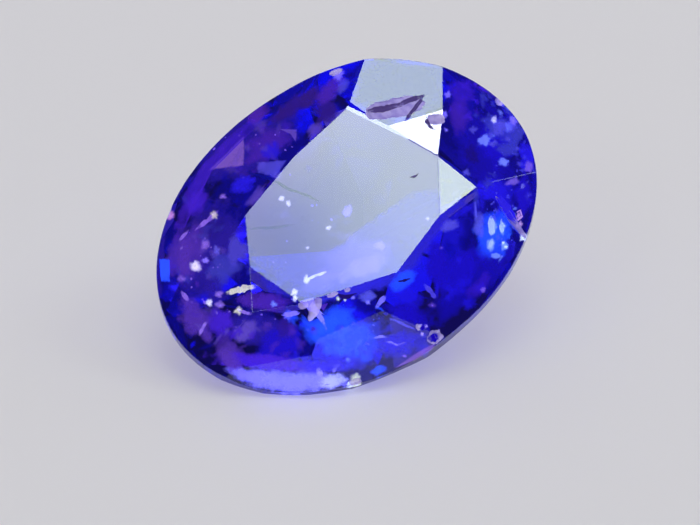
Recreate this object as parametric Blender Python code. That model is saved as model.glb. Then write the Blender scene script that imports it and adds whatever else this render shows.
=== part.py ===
"""A cut and polished tanzanite: an oval stone of about ten millimetres, lying on a facet of its back.

The stone is cut the way a lapidary cuts it. An oval preform meets one flat lap after another, each set by
its azimuth round the girdle, its slope and the point where it stops. Chips and pits are struck last.
All sizes are metres. While it is being cut, the stone stands with its table up, its long axis along X and
the top edge of its girdle near height zero. Then it is laid on one main facet of its pavilion.
"""

import math

import bmesh
import bpy
from mathutils import Matrix, Vector

MM = 0.001

# The girdle outline
LENGTH = 10.28 * MM
WIDTH = 7.66 * MM
GIRDLE_THICKNESS = 0.32 * MM
GIRDLE_STEPS = 144

# The crown. The table lies off the middle of the stone, as on many stones cut by hand.
TABLE_HEIGHT = 1.10 * MM
TABLE_CORNERS_MM = {
    "top": (1.63, 2.19),
    "notch": (2.10, 1.22),
    "right_upper": (2.67, -0.17),
    "right_lower": (1.77, -1.47),
    "bottom_right": (0.01, -2.05),
    "bottom_left": (-2.34, -1.32),
    "left_lower": (-2.81, 0.23),
    "left_upper": (-2.10, 1.40),
    "top_left": (-0.25, 1.92),
}

# Star facets, one on each table edge from the corner named to the next one: slopes in degrees.
# Three of them run all the way to the girdle: both on the upper right edge and the one below the right.
STAR_SLOPES = {
    "top": 22.4,
    "notch": 21.5,
    "right_upper": 9.2,
    "right_lower": 28.5,
    "bottom_right": 23.0,
    "bottom_left": 15.0,
    "left_lower": 16.0,
    "left_upper": 15.0,
    "top_left": 13.0,
}

# Crown mains at most of the table's corners: azimuth and slope in degrees
CROWN_MAINS = {
    "top": (84.0, 30.0),
    "right_upper": (1.3, 27.2),
    "bottom_right": (-91.0, 30.5),
    "bottom_left": (-140.0, 28.5),
    "left_lower": (-188.0, 26.0),
    "left_upper": (-231.0, 29.5),
    "top_left": (-256.0, 29.5),
}

# Crown breaks, the steeper facets along the girdle: azimuth and slope in degrees, and the height in
# millimetres at which each one meets the girdle.
CROWN_BREAKS = (
    (5.0, 28.8, -0.20),
    (-14.0, 31.0, -0.12),
    (-33.0, 33.0, -0.02),
    (-53.0, 33.5, 0.02),
    (-105.0, 37.0, -0.16),
    (-133.0, 39.0, -0.14),
    (-158.0, 32.5, 0.00),
    (-174.0, 31.0, 0.02),
    (-202.0, 31.0, -0.02),
    (-217.0, 33.5, 0.03),
    (-243.5, 35.0, 0.00),
    (-266.0, 36.0, 0.02),
)

# The pavilion: azimuth and slope of each facet in degrees. The mains meet near the culet, which lies off
# the middle as the table does, and the stone lies on the first of them. The breaks run along the girdle.
PREFORM_DEPTH = 4.6 * MM
LONG_AXIS_HEADING = 36.4
REST_MAIN = (-90.0 - LONG_AXIS_HEADING, 40.0)
PAVILION_MAINS = (
    REST_MAIN,
    (-80.0, 46.1),
    (-44.2, 38.4),
    (11.3, 36.4),
    (48.2, 42.1),
    (103.9, 39.9),
    (141.0, 41.8),
    (-170.8, 39.2),
)
PAVILION_BREAKS = (
    (-119.0, 54.5),
    (-103.0, 57.5),
    (-74.0, 46.0),
    (-60.0, 53.0),
    (-40.0, 48.0),
    (-17.0, 48.0),
    (0.0, 53.5),
    (22.0, 53.0),
    (34.0, 53.5),
    (60.0, 49.5),
    (84.0, 57.0),
    (116.0, 56.0),
    (128.0, 54.0),
    (159.0, 53.0),
    (169.0, 51.5),
    (179.0, 47.5),
    (-164.0, 53.5),
    (-145.0, 55.0),
)

# Flaws struck into the surface. For each: where it lies in millimetres, the azimuth and slope that it
# faces, the heading of its long side, its radii along, across and deep in millimetres, and its bite.
FLAWS = {
    "pit": ((2.50, 1.59, 0.87), (25.9, 22.4), -11.0, (0.80, 0.21, 0.18), 0.07),
    "pit_end": ((3.05, 1.33, 0.73), (25.9, 22.4), 20.0, (0.52, 0.12, 0.14), 0.06),
    "comma": ((3.11, 0.76, 0.80), (22.3, 21.5), -103.0, (0.17, 0.06, 0.06), 0.03),
    "corner_flake": ((-2.33, -1.36, 1.09), (-128.0, 18.0), -30.0, (0.46, 0.34, 0.40), 0.055),
    "corner_shard": ((-2.26, -1.64, 0.96), (-107.0, 27.0), 10.0, (0.40, 0.20, 0.30), 0.035),
    "edge_flake": ((-1.95, -1.45, 1.09), (-107.0, 14.0), -18.0, (0.26, 0.20, 0.22), 0.035),
    "edge_nick": ((-1.58, -1.57, 1.09), (-107.0, 14.0), -25.0, (0.34, 0.22, 0.26), 0.030),
    "edge_nick_small": ((-1.22, -1.68, 1.09), (-107.0, 14.0), -5.0, (0.15, 0.12, 0.14), 0.025),
    "ridge_nick": ((-0.24, -3.30, 0.36), (-98.0, 34.0), 60.0, (0.24, 0.15, 0.20), 0.035),
    "girdle_chip": ((0.00, -3.62, 0.17), (-96.0, 56.0), 20.0, (0.40, 0.28, 0.34), 0.075),
    "rim_nick_bottom": ((-2.22, -3.36, -0.08), (-112.0, 60.0), -30.0, (0.26, 0.20, 0.22), 0.045),
    "rim_nick_right": ((3.36, -2.86, 0.06), (-53.0, 62.0), 40.0, (0.20, 0.15, 0.18), 0.040),
    "rim_nick_upper": ((4.98, 0.44, -0.13), (5.0, 62.0), 90.0, (0.18, 0.14, 0.16), 0.030),
    "rim_nick_top": ((2.07, 3.27, 0.44), (72.0, 60.0), -20.0, (0.24, 0.16, 0.18), 0.035),
    "rim_nick_left": ((-3.38, 2.87, 0.00), (129.0, 60.0), 40.0, (0.16, 0.13, 0.14), 0.030),
}

ON_PLANE = 0.00002 * MM
MERGE = 0.002 * MM


def outward(azimuth):
    """The level direction at an azimuth given in degrees."""
    angle = math.radians(azimuth)
    return Vector((math.cos(angle), math.sin(angle), 0.0))


def girdle_point(azimuth, height):
    """A point that the facet of this azimuth passes through when it just meets the girdle."""
    angle = math.radians(azimuth)
    reach = math.hypot(0.5 * LENGTH * math.cos(angle), 0.5 * WIDTH * math.sin(angle))
    point = outward(azimuth) * reach
    point.z = height
    return point


def facet_normal(azimuth, slope, side):
    """The outward normal of a facet. Side is 1 for the crown and -1 for the pavilion."""
    lean = math.radians(slope)
    return outward(azimuth) * math.sin(lean) + Vector((0.0, 0.0, side * math.cos(lean)))


def lap(stone, point, normal):
    """Grinds away all that lies beyond a plane and closes the stone with the new facet."""
    everything = stone.verts[:] + stone.edges[:] + stone.faces[:]
    cut = bmesh.ops.bisect_plane(
        stone, geom=everything, dist=ON_PLANE, plane_co=point, plane_no=normal, clear_outer=True
    )
    rim = [item for item in cut["geom_cut"] if isinstance(item, bmesh.types.BMEdge)]
    if rim:
        bmesh.ops.contextual_create(stone, geom=rim)


def preform():
    """An oval drum that holds the whole stone, with the table as its top."""
    stone = bmesh.new()
    height = TABLE_HEIGHT + GIRDLE_THICKNESS + PREFORM_DEPTH
    bmesh.ops.create_cone(
        stone, cap_ends=True, segments=GIRDLE_STEPS, radius1=0.5, radius2=0.5, depth=height
    )
    bmesh.ops.scale(stone, vec=(LENGTH, WIDTH, 1.0), verts=stone.verts)
    bmesh.ops.translate(stone, vec=(0.0, 0.0, TABLE_HEIGHT - 0.5 * height), verts=stone.verts)
    return stone


def cut_crown(stone):
    """Stars on the table's edges, mains at its corners, and breaks along the girdle."""
    corners = {name: Vector((x * MM, y * MM, TABLE_HEIGHT)) for name, (x, y) in TABLE_CORNERS_MM.items()}
    names = list(corners)
    for name, following in zip(names, names[1:] + names[:1]):
        edge = corners[following] - corners[name]
        azimuth = math.degrees(math.atan2(edge.x, -edge.y))
        lap(stone, corners[name], facet_normal(azimuth, STAR_SLOPES[name], 1))
    for name, (azimuth, slope) in CROWN_MAINS.items():
        lap(stone, corners[name], facet_normal(azimuth, slope, 1))
    for azimuth, slope, height in CROWN_BREAKS:
        lap(stone, girdle_point(azimuth, height * MM), facet_normal(azimuth, slope, 1))


def cut_pavilion(stone):
    """Mains from the girdle down to the culet, and breaks between them."""
    for azimuth, slope in (*PAVILION_MAINS, *PAVILION_BREAKS):
        lap(stone, girdle_point(azimuth, -GIRDLE_THICKNESS), facet_normal(azimuth, slope, -1))


def resting_pose(stone):
    """Turns the rest main down and its opposite side back, and sets the stone on the ground, centred."""
    heading = Matrix.Rotation(math.radians(LONG_AXIS_HEADING), 4, "Z")
    turn = Matrix.Rotation(math.radians(REST_MAIN[1]), 4, "X") @ heading
    corners = [turn @ vert.co for vert in stone.verts]
    low = Vector([min(corner[axis] for corner in corners) for axis in range(3)])
    high = Vector([max(corner[axis] for corner in corners) for axis in range(3)])
    middle = 0.5 * (low + high)
    return Matrix.Translation((-middle.x, -middle.y, -low.z)) @ turn


def flaw_cutter(name, pose, collection):
    """A rounded cutter that bites a shell-shaped flake out of the surface."""
    place, (azimuth, slope), heading, radii, bite = FLAWS[name]
    outwards = facet_normal(azimuth, slope, 1)
    across = outwards.cross(outward(heading)).normalized()
    along = across.cross(outwards)
    middle = Vector(place) + outwards * (radii[2] - bite)
    axes = Matrix((along * radii[0], across * radii[1], outwards * radii[2])).transposed()
    shape = bmesh.new()
    bmesh.ops.create_icosphere(shape, subdivisions=2, radius=1.0)
    matrix = pose @ Matrix.Scale(MM, 4) @ Matrix.Translation(middle) @ axes.to_4x4()
    bmesh.ops.transform(shape, matrix=matrix, verts=shape.verts)
    mesh = bpy.data.meshes.new(name)
    shape.to_mesh(mesh)
    shape.free()
    cutter = bpy.data.objects.new(name, mesh)
    cutter.hide_render = True
    cutter.display_type = "WIRE"
    collection.objects.link(cutter)


def tanzanite_material():
    """Deep blue, clear and highly polished."""
    material = bpy.data.materials.new("tanzanite")
    material.use_nodes = True
    shader = material.node_tree.nodes["Principled BSDF"]
    shader.inputs["Base Color"].default_value = (0.05, 0.06, 0.55, 1.0)
    shader.inputs["Roughness"].default_value = 0.03
    shader.inputs["Metallic"].default_value = 0.0
    shader.inputs["IOR"].default_value = 1.69
    shader.inputs["Transmission Weight"].default_value = 1.0
    return material


def main():
    for old in list(bpy.data.objects):
        bpy.data.objects.remove(old)
    parts = bpy.data.collections.new("faceted tanzanite")
    cutters = bpy.data.collections.new("flaw cutters")
    bpy.context.scene.collection.children.link(parts)
    bpy.context.scene.collection.children.link(cutters)

    stone = preform()
    cut_crown(stone)
    cut_pavilion(stone)
    bmesh.ops.remove_doubles(stone, verts=stone.verts, dist=MERGE)
    pose = resting_pose(stone)
    bmesh.ops.transform(stone, matrix=pose, verts=stone.verts)
    bmesh.ops.recalc_face_normals(stone, faces=stone.faces)
    mesh = bpy.data.meshes.new("tanzanite")
    stone.to_mesh(mesh)
    stone.free()
    mesh.materials.append(tanzanite_material())
    gem = bpy.data.objects.new("tanzanite", mesh)
    parts.objects.link(gem)

    for name in FLAWS:
        flaw_cutter(name, pose, cutters)
    flaws = gem.modifiers.new("flaws", "BOOLEAN")
    flaws.operation = "DIFFERENCE"
    flaws.operand_type = "COLLECTION"
    flaws.collection = cutters
    flaws.solver = "EXACT"


main()
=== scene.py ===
import math
import random

import bmesh
import bpy
from mathutils import Matrix, Vector, noise
from mathutils.bvhtree import BVHTree


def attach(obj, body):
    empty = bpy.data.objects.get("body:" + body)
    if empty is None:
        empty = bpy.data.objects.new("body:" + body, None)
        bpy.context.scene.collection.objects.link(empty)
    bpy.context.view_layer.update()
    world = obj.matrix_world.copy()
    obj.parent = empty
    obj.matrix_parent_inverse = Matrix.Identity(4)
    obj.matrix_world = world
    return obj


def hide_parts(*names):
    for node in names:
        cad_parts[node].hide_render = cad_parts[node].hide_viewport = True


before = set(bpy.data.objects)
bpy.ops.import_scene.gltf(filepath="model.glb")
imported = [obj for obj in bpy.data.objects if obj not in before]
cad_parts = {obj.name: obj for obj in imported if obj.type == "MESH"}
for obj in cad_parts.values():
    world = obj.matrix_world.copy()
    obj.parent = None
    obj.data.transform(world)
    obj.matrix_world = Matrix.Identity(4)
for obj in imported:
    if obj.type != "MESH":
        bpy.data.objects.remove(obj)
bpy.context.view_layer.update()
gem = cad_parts["tanzanite"]
mm = 0.001
print("frame loaded:", len(gem.data.polygons), "faces on the packed stone")

# the photo's view of the stone; a place on the stone is often given by the pixel where the photo shows it
view = {
    "elevation": 30.0,              # degrees above the horizon, looking along +Y
    "distance": 250.0 * mm,         # a long lens from far off, so hardly any perspective
    "pixelsPerMm": 40.04,
    "imageSize": (700, 525),
    "stoneMiddle": (347.0, 226.4),  # the middle of the stone's outline, in pixels
    "sensor": 36.0,
    "clip": (0.01, 10.0),
}
lift = math.radians(view["elevation"])
towardCamera = Vector((0.0, -math.cos(lift), math.sin(lift)))
imageUp = Vector((0.0, math.sin(lift), math.cos(lift)))
imageRight = Vector((1.0, 0.0, 0.0))
imageMiddle = (0.5 * view["imageSize"][0], 0.5 * view["imageSize"][1])
pixel = mm / view["pixelsPerMm"]


def middleOf(points, direction):
    reach = [point.dot(direction) for point in points]
    return 0.5 * (min(reach) + max(reach))


stonePoints = [vertex.co.copy() for vertex in gem.data.vertices]
imageOrigin = (middleOf(stonePoints, imageRight), middleOf(stonePoints, imageUp))


def pixelOf(point):
    across = (point.dot(imageRight) - imageOrigin[0]) / pixel
    rise = (point.dot(imageUp) - imageOrigin[1]) / pixel
    return Vector((view["stoneMiddle"][0] + across, view["stoneMiddle"][1] - rise))


def planePoint(place):
    across = imageOrigin[0] + (place[0] - view["stoneMiddle"][0]) * pixel
    rise = imageOrigin[1] - (place[1] - view["stoneMiddle"][1]) * pixel
    return imageRight * across + imageUp * rise


def addObject(name, mesh):
    thing = bpy.data.objects.new(name, mesh)
    bpy.context.scene.collection.objects.link(thing)
    return thing


def meshFrom(shape, name):
    mesh = bpy.data.meshes.new(name)
    shape.to_mesh(mesh)
    shape.free()
    return mesh


# shader helpers; a node's inputs go by name or number, and each is a value or the socket that feeds it
def feed(tree, node, inputs):
    for key, source in inputs.items():
        if isinstance(source, bpy.types.NodeSocket):
            tree.links.new(source, node.inputs[key])
        else:
            node.inputs[key].default_value = source


def addNode(tree, kind, inputs=None, **settings):
    node = tree.nodes.new(kind)
    for key, value in settings.items():
        setattr(node, key, value)
    feed(tree, node, inputs or {})
    return node


def newMaterial(name, roughness):
    material = bpy.data.materials.new(name)
    material.use_nodes = True
    tree = material.node_tree
    shader = tree.nodes["Principled BSDF"]
    feed(tree, shader, {"Roughness": roughness})
    return material, tree, shader


def newGroup(name, inputs, outputs):
    group = bpy.data.node_groups.new(name, "ShaderNodeTree")
    for label, kind, value in inputs:
        socket = group.interface.new_socket(label, in_out="INPUT", socket_type=kind)
        socket.default_value = value
    for label, kind in outputs:
        group.interface.new_socket(label, in_out="OUTPUT", socket_type=kind)
    return group, addNode(group, "NodeGroupInput"), addNode(group, "NodeGroupOutput")


def objectPlace(tree):
    return addNode(tree, "ShaderNodeTexCoord").outputs["Object"]


def noiseOver(tree, place, scale, detail, roughness=0.5):
    node = addNode(tree, "ShaderNodeTexNoise",
                   {"Vector": place, "Scale": scale, "Detail": detail, "Roughness": roughness})
    return node.outputs["Fac"]


def compute(tree, operation, *values, clamp=False):
    node = addNode(tree, "ShaderNodeMath", dict(enumerate(values)), operation=operation, use_clamp=clamp)
    return node.outputs[0]


def ramp(tree, value, start, end, low=0.0, high=1.0, kind="SMOOTHSTEP"):
    node = addNode(tree, "ShaderNodeMapRange",
                   {"Value": value, "From Min": start, "From Max": end, "To Min": low, "To Max": high},
                   interpolation_type=kind)
    return node.outputs[0]


def blend(tree, share, under, over):
    node = addNode(tree, "ShaderNodeMix", {"Factor": share, 6: under, 7: over}, data_type="RGBA")
    return node.outputs[2]


zoneLook = {
    "noise": 700.0, "detail": 3.0, "waver": 0.7,    # bends the border of a zone
    "full": 0.6, "gone": 1.7,                       # where it begins and ends to fade, in radii
}
wearLook = {
    "filmNoise": 450.0, "filmDetail": 4.0, "filmEdge": (0.45, 0.75),
    "hairlines": ((0.5, 14000.0), (1.9, 11000.0), (2.7, 16000.0)),    # how each set turns, how fine it is
    "lean": (0.3, 0.7, 1.0),
    "length": 300.0,
    "cut": (0.70, 0.80),
    "relief": 0.01 * mm,
}


def makeZoneGroup():
    # a soft-edged ball of colour inside the crystal, with a wavering border; the stone's painted light and
    # shade in its surface colour are made of these
    group, given, result = newGroup(
        "colour zone",
        [("Under", "NodeSocketColor", (1, 1, 1, 1)), ("Colour", "NodeSocketColor", (1, 1, 1, 1)),
         ("Centre", "NodeSocketVector", (0, 0, 0)), ("Radius", "NodeSocketFloat", 0.001),
         ("Strength", "NodeSocketFloat", 1.0)],
        [("Colour", "NodeSocketColor")])
    place = objectPlace(group)
    waver = noiseOver(group, place, zoneLook["noise"], zoneLook["detail"])
    distance = addNode(group, "ShaderNodeVectorMath", {0: place, 1: given.outputs["Centre"]},
                       operation="DISTANCE")
    share = compute(group, "DIVIDE", distance.outputs["Value"], given.outputs["Radius"])
    bent = compute(group, "MULTIPLY_ADD", waver, zoneLook["waver"], share)
    fade = ramp(group, bent, zoneLook["full"], zoneLook["gone"], 1.0, 0.0)
    amount = compute(group, "MULTIPLY", fade, given.outputs["Strength"])
    feed(group, result, {"Colour": blend(group, amount, given.outputs["Under"], given.outputs["Colour"])})
    return group


def makeWearGroup():
    # hairline scratches and a greasy film left by handling
    group, given, result = newGroup(
        "polish wear",
        [("Polish", "NodeSocketFloat", 0.02), ("Film", "NodeSocketFloat", 0.05),
         ("Scratches", "NodeSocketFloat", 0.1)],
        [("Roughness", "NodeSocketFloat"), ("Height", "NodeSocketFloat")])
    place = objectPlace(group)
    film = noiseOver(group, place, wearLook["filmNoise"], wearLook["filmDetail"])
    film = ramp(group, film, *wearLook["filmEdge"])
    film = compute(group, "MULTIPLY_ADD", film, given.outputs["Film"], given.outputs["Polish"])
    lines = None
    for turn, fineness in wearLook["hairlines"]:
        spin = addNode(group, "ShaderNodeMapping",
                       {"Vector": place, "Rotation": [turn * lean for lean in wearLook["lean"]],
                        "Scale": (fineness, wearLook["length"], wearLook["length"])})
        cut = ramp(group, noiseOver(group, spin.outputs[0], 1.0, 1.0), *wearLook["cut"], kind="LINEAR")
        lines = cut if lines is None else compute(group, "MAXIMUM", lines, cut)
    rough = compute(group, "MULTIPLY_ADD", lines, given.outputs["Scratches"], film, clamp=True)
    feed(group, result, {"Roughness": rough, "Height": lines})
    return group


zoneGroup = makeZoneGroup()
wearGroup = makeWearGroup()
print("shader groups made")


# the polished stone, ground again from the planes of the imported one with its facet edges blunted
stone = {
    "block": 24.0,                      # mm, the block that it is ground from
    "flat": 0.0015 * mm,                # how near a point must lie to count as on a facet
    "parallel": 0.99999,                # how alike the normals of one facet's faces are
    "smallest": 2e-11,                  # square metres, the smallest face that can tell a facet's plane
    "onTheLap": 0.00002,                # mm
    "blunt": 0.016,                     # mm, usual width of a blunted facet edge
    "bluntSpread": 0.5,                 # how much that varies from edge to edge
    "sharp": 3.5,                       # degrees; flatter edges stay as they are
    "weld": 0.002, "lastWeld": 0.0004,  # mm
    "seed": 7,
    "worn": {                           # edges that are rubbed wider: pixel, mm
        "top edge of the table": ((366.0, 119.0), 0.13),
        "edge over the bright wedge": ((410.0, 142.5), 0.04),
        "lower edge of the table": ((350.0, 288.0), 0.05),
        "ridge down to the girdle": ((401.0, 320.0), 0.035),
        "ridge at the lower left": ((206.0, 330.0), 0.03),
    },
    "wornReach": 14.0,                  # pixels from that place to the edge's middle
    "wornSpread": (0.8, 1.1),
}


def facetPlanes(mesh):
    planes = []
    for polygon in sorted(mesh.polygons, key=lambda face: -face.area):
        if polygon.area < stone["smallest"]:
            break
        normal, centre = polygon.normal.copy(), polygon.center.copy()
        known = any(normal.dot(n) > stone["parallel"] and abs(n.dot(centre - c)) < stone["flat"]
                    for n, c in planes)
        if not known and max((point - centre).dot(normal) for point in stonePoints) < stone["flat"]:
            planes.append((normal, centre))
    return planes


def lap(shape, normal, point):
    everything = shape.verts[:] + shape.edges[:] + shape.faces[:]
    cut = bmesh.ops.bisect_plane(shape, geom=everything, dist=stone["onTheLap"], plane_co=point,
                                 plane_no=normal, clear_outer=True)
    rim = [item for item in cut["geom_cut"] if isinstance(item, bmesh.types.BMEdge)]
    if rim:
        bmesh.ops.contextual_create(shape, geom=rim)


def edgeWidth(middle, rng):
    width = stone["blunt"] * (1.0 + stone["bluntSpread"] * rng.uniform(-1.0, 1.0))
    for place, worn in stone["worn"].values():
        if (pixelOf(middle * mm) - Vector(place)).length < stone["wornReach"]:
            width = worn * rng.uniform(*stone["wornSpread"])
    return width


def grindStone(planes):
    shape = bmesh.new()              # in millimetres, where the cutting is more exact
    bmesh.ops.create_cube(shape, size=stone["block"])
    for normal, point in planes:
        lap(shape, normal, point / mm)
    bmesh.ops.remove_doubles(shape, verts=shape.verts, dist=stone["weld"])
    rng = random.Random(stone["seed"])
    blunted = []
    for edge in shape.edges:
        if len(edge.link_faces) != 2:
            continue
        angle = edge.calc_face_angle()
        if angle < math.radians(stone["sharp"]):
            continue
        middle = 0.5 * (edge.verts[0].co + edge.verts[1].co)
        normal = (edge.link_faces[0].normal + edge.link_faces[1].normal).normalized()
        depth = 0.5 * edgeWidth(middle, rng) * math.tan(0.5 * angle)
        blunted.append((normal, middle - normal * depth))
    for normal, point in blunted:
        lap(shape, normal, point)
    bmesh.ops.remove_doubles(shape, verts=shape.verts, dist=stone["lastWeld"])
    bmesh.ops.scale(shape, vec=(mm, mm, mm), verts=shape.verts)
    bmesh.ops.recalc_face_normals(shape, faces=shape.faces)
    return shape


planes = facetPlanes(gem.data)
shape = grindStone(planes)
print("stone ground from", len(planes), "planes:", len(shape.faces), "faces,",
      round(shape.calc_volume() / mm ** 3, 2), "cubic mm")
surface = BVHTree.FromBMesh(shape)
polished = addObject("polished_stone", meshFrom(shape, "polished stone"))


# the flakes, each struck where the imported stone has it
flake = {
    "alongFacet": 0.999,      # how like a facet's normal that of a face on it is
    "meet": 0.003 * mm,       # how near the corners of two faces of one flake lie
    "fewest": 5,              # faces; a smaller group is no flake
    "shallowest": 0.01 * mm,
    "lens": 1.155,            # how much wider the cutter is than the mouth it leaves
    "bowl": 2.0,              # how tall the cutter is against the flake's depth
    "ripple": 0.05,           # conchoidal rings
    "rings": 9.0, "ringStart": 1.3, "ringWaver": 0.4, "ringCrowding": 1.3,
    "lump": 0.16,
    "fineness": 4,
    "pit": (393.0, 110.0),    # the long pit's middle in pixels; its left end stops short
    "pitReach": 15.0,
    "pitShrink": 0.12,
}


def flakeClusters(mesh, planes):
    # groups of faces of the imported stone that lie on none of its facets
    loose = [face for face in mesh.polygons if not any(
        face.normal.dot(n) > flake["alongFacet"] and abs(n.dot(face.center - c)) < stone["flat"]
        for n, c in planes)]
    groups = []
    for face in loose:
        keys = {tuple(round(value / flake["meet"]) for value in mesh.vertices[index].co)
                for index in face.vertices}
        joined = [group for group in groups if group[0] & keys]
        merged = (keys.union(*[group[0] for group in joined]), [face])
        for group in joined:
            merged[1].extend(group[1])
            groups.remove(group)
        groups.append(merged)
    return [faces for keys, faces in groups if len(faces) > flake["fewest"]]


def flakeCutter(mesh, faces, number):
    outward = sum((face.normal * face.area for face in faces), Vector()).normalized()
    points = [mesh.vertices[index].co for face in faces for index in face.vertices]
    centre = sum(points, Vector()) / len(points)
    side = outward.orthogonal().normalized()
    other = outward.cross(side)
    xx = sum((point - centre).dot(side) ** 2 for point in points)
    yy = sum((point - centre).dot(other) ** 2 for point in points)
    xy = sum((point - centre).dot(side) * (point - centre).dot(other) for point in points)
    turn = 0.5 * math.atan2(2.0 * xy, xx - yy)
    along = side * math.cos(turn) + other * math.sin(turn)
    across = outward.cross(along)
    ranges = []
    for axis in (along, across, outward):
        reach = [point.dot(axis) for point in points]
        ranges.append((min(reach), max(reach)))
    mouth = sum((axis * 0.5 * (low + high) for axis, (low, high) in zip((along, across), ranges)), Vector())
    mouth += outward * ranges[2][1]
    deep = max(ranges[2][1] - ranges[2][0], flake["shallowest"])
    radii = (0.5 * (ranges[0][1] - ranges[0][0]) * flake["lens"],
             0.5 * (ranges[1][1] - ranges[1][0]) * flake["lens"], flake["bowl"] * deep)
    if (pixelOf(mouth) - Vector(flake["pit"])).length < flake["pitReach"]:
        mouth += along * math.copysign(flake["pitShrink"] * radii[0], along.dot(imageRight))
        radii = (radii[0] * (1.0 - flake["pitShrink"]), radii[1], radii[2])
    cutter = bmesh.new()
    bmesh.ops.create_icosphere(cutter, subdivisions=flake["fineness"], radius=1.0)
    for vertex in cutter.verts:
        unit = vertex.co.copy()
        run = unit.x + flake["ringStart"] + flake["ringWaver"] * noise.noise(unit * 2.0)
        ring = math.sin(flake["rings"] * run ** flake["ringCrowding"])
        swell = 1.0 + flake["lump"] * noise.noise(unit * 1.7 + Vector((number * 3.1, 0.0, 0.0)))
        vertex.co = unit * (swell + flake["ripple"] * ring)
    frameAxes = Matrix((along * radii[0], across * radii[1], outward * radii[2])).transposed().to_4x4()
    bmesh.ops.transform(cutter, verts=cutter.verts,
                        matrix=Matrix.Translation(mouth + outward * deep) @ frameAxes)
    return addObject("flake cutter %02d" % number, meshFrom(cutter, "flake"))


clusters = flakeClusters(gem.data, planes)
print("flakes found:", len(clusters))
cutters = [flakeCutter(gem.data, faces, number) for number, faces in enumerate(clusters)]


# the crystal, the fresh surface inside its chips, and soft balls of colour in its surface that paint its
# light and shade
crystal = {
    "ior": 1.69,
    "absorb": (0.10, 0.06, 0.872),      # share of each colour that the crystal lets by
    "density": 500.0,                   # per metre
    "body": (0.55, 0.40, 1.0),
    "polish": 0.0, "film": 0.006, "scratches": 0.03, "bump": 0.0,
}
breaks = {
    "pale": (0.60, 0.52, 0.92), "deep": (0.40, 0.32, 0.76),
    "polish": 0.42, "film": 0.2, "scratches": 0.3, "bump": 0.3,
    "transmission": 0.35,
    "grain": 0.18 * mm, "detail": 3.0, "mixEdge": (0.35, 0.60),
}
# painted light and shade in the surface colour: the azure, pale and white balls brighten the light coming
# back through the facets there, the navy one darkens it, the violet ones turn it violet
light_and_shade_zones = {     # pixel, depth in mm, radius in mm, colour, strength
    "violet end": ((190, 240), 1.0, 2.6, (0.98, 0.55, 0.82), 0.9),
    "violet shoulder": ((260, 130), 0.8, 2.0, (0.92, 0.45, 0.80), 0.8),
    "azure middle": ((348, 330), 0.8, 1.5, (0.75, 1.0, 1.0), 1.0),
    "azure corner": ((402, 280), 0.5, 0.7, (0.6, 1.0, 1.0), 0.9),
    "lower violet": ((235, 330), 0.6, 1.4, (0.95, 0.70, 0.92), 0.8),
    "pale streaked end": ((495, 235), 0.6, 1.0, (0.8, 1.0, 1.0), 0.8),
    "lilac brim": ((300, 380), 0.3, 1.4, (1.0, 1.0, 1.0), 0.9),
    "navy shoulder": ((438, 322), 0.8, 1.9, (0.22, 0.06, 0.85), 0.9),
}
sight = {     # how the line of sight through a pixel is followed into the crystal
    "from": 30.0 * mm,
    "facing": 0.1,          # how squarely the surface must face the camera
    "tries": 40,
    "step": 0.985,          # how far each try draws the aim in towards the stone's middle
    "skin": 0.001 * mm,
    "deepest": 0.7,         # the share of the way through at which a zone or a flaw may lie
}


def enterCrystal(place):
    # where the line of sight through this pixel enters the stone, its direction inside, and how far
    # it then runs; a pixel past the brim is first drawn in towards the stone's middle
    middle = Vector(view["stoneMiddle"])
    aim = Vector(place)
    for attempt in range(sight["tries"]):
        start = planePoint(aim) + towardCamera * sight["from"]
        spot, normal = surface.ray_cast(start, -towardCamera)[:2]
        if spot is not None and normal.dot(towardCamera) > sight["facing"]:
            break
        aim = middle + (aim - middle) * sight["step"]
    ratio = 1.0 / crystal["ior"]
    cosine = normal.dot(towardCamera)
    turned = ratio * cosine - math.sqrt(1.0 - ratio ** 2 * (1.0 - cosine ** 2))
    bent = -towardCamera * ratio + normal * turned
    bent.normalize()
    back = surface.ray_cast(spot + bent * sight["skin"], bent)[0]
    return spot, bent, (back - spot).length if back is not None else 0.0


def addAbsorption(tree):
    volume = addNode(tree, "ShaderNodeVolumeAbsorption",
                     {"Color": (*crystal["absorb"], 1.0), "Density": crystal["density"]})
    feed(tree, tree.nodes["Material Output"], {"Volume": volume.outputs[0]})


def addWear(tree, shader, look):
    wear = addNode(tree, "ShaderNodeGroup",
                   {"Polish": look["polish"], "Film": look["film"], "Scratches": look["scratches"]},
                   node_tree=wearGroup)
    feed(tree, shader, {"Roughness": wear.outputs["Roughness"]})
    if look["bump"] > 0.0:
        relief = addNode(tree, "ShaderNodeBump", {"Strength": look["bump"], "Distance": wearLook["relief"],
                                                  "Height": wear.outputs["Height"]})
        feed(tree, shader, {"Normal": relief.outputs[0]})


def polishedMaterial():
    material, tree, shader = newMaterial("polished tanzanite", crystal["polish"])
    feed(tree, shader, {"IOR": crystal["ior"], "Transmission Weight": 1.0})
    addAbsorption(tree)
    colour = (*crystal["body"], 1.0)
    for place, depth, radius, tint, strength in light_and_shade_zones.values():
        spot, inward, room = enterCrystal(place)
        centre = spot + inward * min(depth * mm, sight["deepest"] * room)
        zone = addNode(tree, "ShaderNodeGroup",
                       {"Under": colour, "Colour": (*tint, 1.0), "Centre": centre,
                        "Radius": radius * mm, "Strength": strength}, node_tree=zoneGroup)
        colour = zone.outputs["Colour"]
    feed(tree, shader, {"Base Color": colour})
    addWear(tree, shader, crystal)
    return material


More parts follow.
